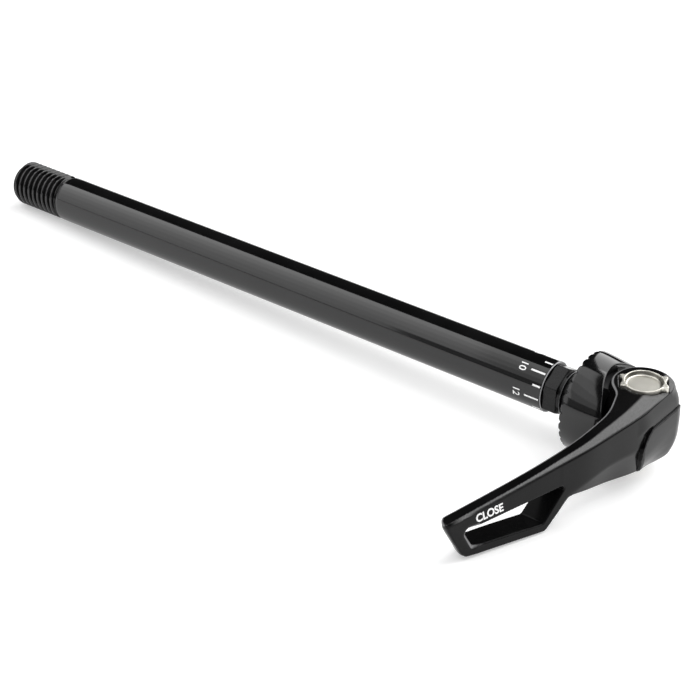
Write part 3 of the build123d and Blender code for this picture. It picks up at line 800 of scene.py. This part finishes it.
put(tube, tube_black)
put(flange, flange_black)
put(nut, hexagon_black)
put(lever, lever_black)
put(cap, cap_nickel)
for o in prints:
    put(o, print_white)
for node, m in (("end_plug", plain_aluminium), ("thrust_washer", bearing_plastic), ("draw_rod", turned_steel),
                ("barrel_nut", turned_steel), ("cam_follower", bearing_plastic), ("lower_pin_cap", cap_nickel)):
    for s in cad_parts[node].material_slots:
        s.material = m


# ------------------------------------------------------------------ floor, light and camera
scene = bpy.context.scene

# the table touches the flange's rim, the threaded tip and the underside of the lever's paddle
a = Vector((2.6, -1.43, -11.41))
b = Vector((-179.0, -0.7, -5.9))
c = Vector((10.6, -37.4, -7.3))
up = (b - a).cross(c - a).normalized()
if up.z < 0:
    up = -up
me = bpy.data.meshes.new("table")
me.from_pydata([(-4, -4, 0), (4, -4, 0), (4, 4, 0), (-4, 4, 0)], [], [(0, 1, 2, 3)])
floor = bpy.data.objects.new("table", me)
scene.collection.objects.link(floor)
turn = Vector((0, 0, 1)).rotation_difference(up).to_matrix().to_4x4()
floor.matrix_world = Matrix.Translation((a - up * 0.12) * MM) @ turn
n = Nodes("table_white")
dust = n.noise(60.0, 2.0)
n.set(Base_Color=n.mix(n.ramp(dust, 0.0, 1.0, 0.3, 0.7), (0.74, 0.74, 0.74), (0.76, 0.76, 0.76)), Roughness=0.7, Emission_Color=(1.0, 1.0, 1.0, 1.0), Emission_Strength=0.38)
put(floor, n.m)

world = bpy.data.worlds.new("studio")
scene.world = world
world.use_nodes = True
bg = world.node_tree.nodes["Background"]
bg.inputs["Color"].default_value = (1.0, 1.0, 1.0, 1.0)
bg.inputs["Strength"].default_value = 0.03


def softbox(name, at, size, radiance, aim=(-0.02, -0.01, 0.0), across=(1, 0, 0)):
    """A rectangular soft light; its width runs along the direction called across."""
    li = bpy.data.lights.new(name, "AREA")
    li.shape = "RECTANGLE"
    li.size, li.size_y = size
    li.energy = radiance * math.pi * size[0] * size[1]
    back = (Vector(at) - Vector(aim)).normalized()
    u = Vector(across)
    u = (u - back * u.dot(back)).normalized()
    v = back.cross(u)
    o = bpy.data.objects.new(name, li)
    o.matrix_world = Matrix(((u.x, v.x, back.x, at[0]), (u.y, v.y, back.y, at[1]), (u.z, v.z, back.z, at[2]), (0, 0, 0, 1)))
    scene.collection.objects.link(o)
    return o


# a bank of soft panels curves over the tube from the front left, dimmer toward the floor; two more stand behind on the right
for k, (turn_deg, tall, left, right, seam) in enumerate((
        (94.4, 0.512, 2.9, 2.05, -0.8), (75.2, 0.512, 2.5, 1.65, -0.8), (56.0, 0.512, 2.1, 1.3, -0.8),
        (36.8, 0.512, 1.8, 0.95, -0.8), (18.6, 0.46, 1.6, 0.28, -0.93))):
    t = math.radians(turn_deg)
    for tag, x0, x1, radiance in (("left", -1.9, seam, left), ("right", seam, -0.14, right)):
        mid = 0.5 * (x0 + x1)
        softbox("bank_%s_%d" % (tag, k), (mid, -1.5 * math.cos(t), 1.5 * math.sin(t)), (x1 - x0, tall), radiance, aim=(mid, 0.0, 0.0))
softbox("back_right", (0.45, 1.1, 0.8), (1.66, 1.7), 3.1, aim=(0.45, 0.0, 0.214), across=(0.978, 0.098, -0.183))
softbox("over_right", (0.48, 0.567, 1.55), (1.2, 0.85), 3.0, aim=(0.48, 0.567, 0.0), across=(0.915, 0.403, 0.0))
softbox("fill_right", (0.95, -0.75, 1.15), (1.5, 1.5), 1.5)

camd = bpy.data.cameras.new("camera")
camd.lens = 82.2857
camd.sensor_width = 36.0
camd.sensor_fit = "HORIZONTAL"
camd.clip_start = 0.01
camd.clip_end = 20.0
cam = bpy.data.objects.new("camera", camd)
fwd = Vector((-0.52665, 0.67239, -0.52012)).normalized()
right = Vector((0.78726, 0.61662, 0.0)).normalized()
upv = right.cross(fwd).normalized()
cam.matrix_world = Matrix(((right.x, upv.x, -fwd.x, 0.14097), (right.y, upv.y, -fwd.y, -0.26372), (right.z, upv.z, -fwd.z, 0.19196), (0, 0, 0, 1)))
scene.collection.objects.link(cam)
scene.camera = cam
scene.view_settings.view_transform = "Standard"
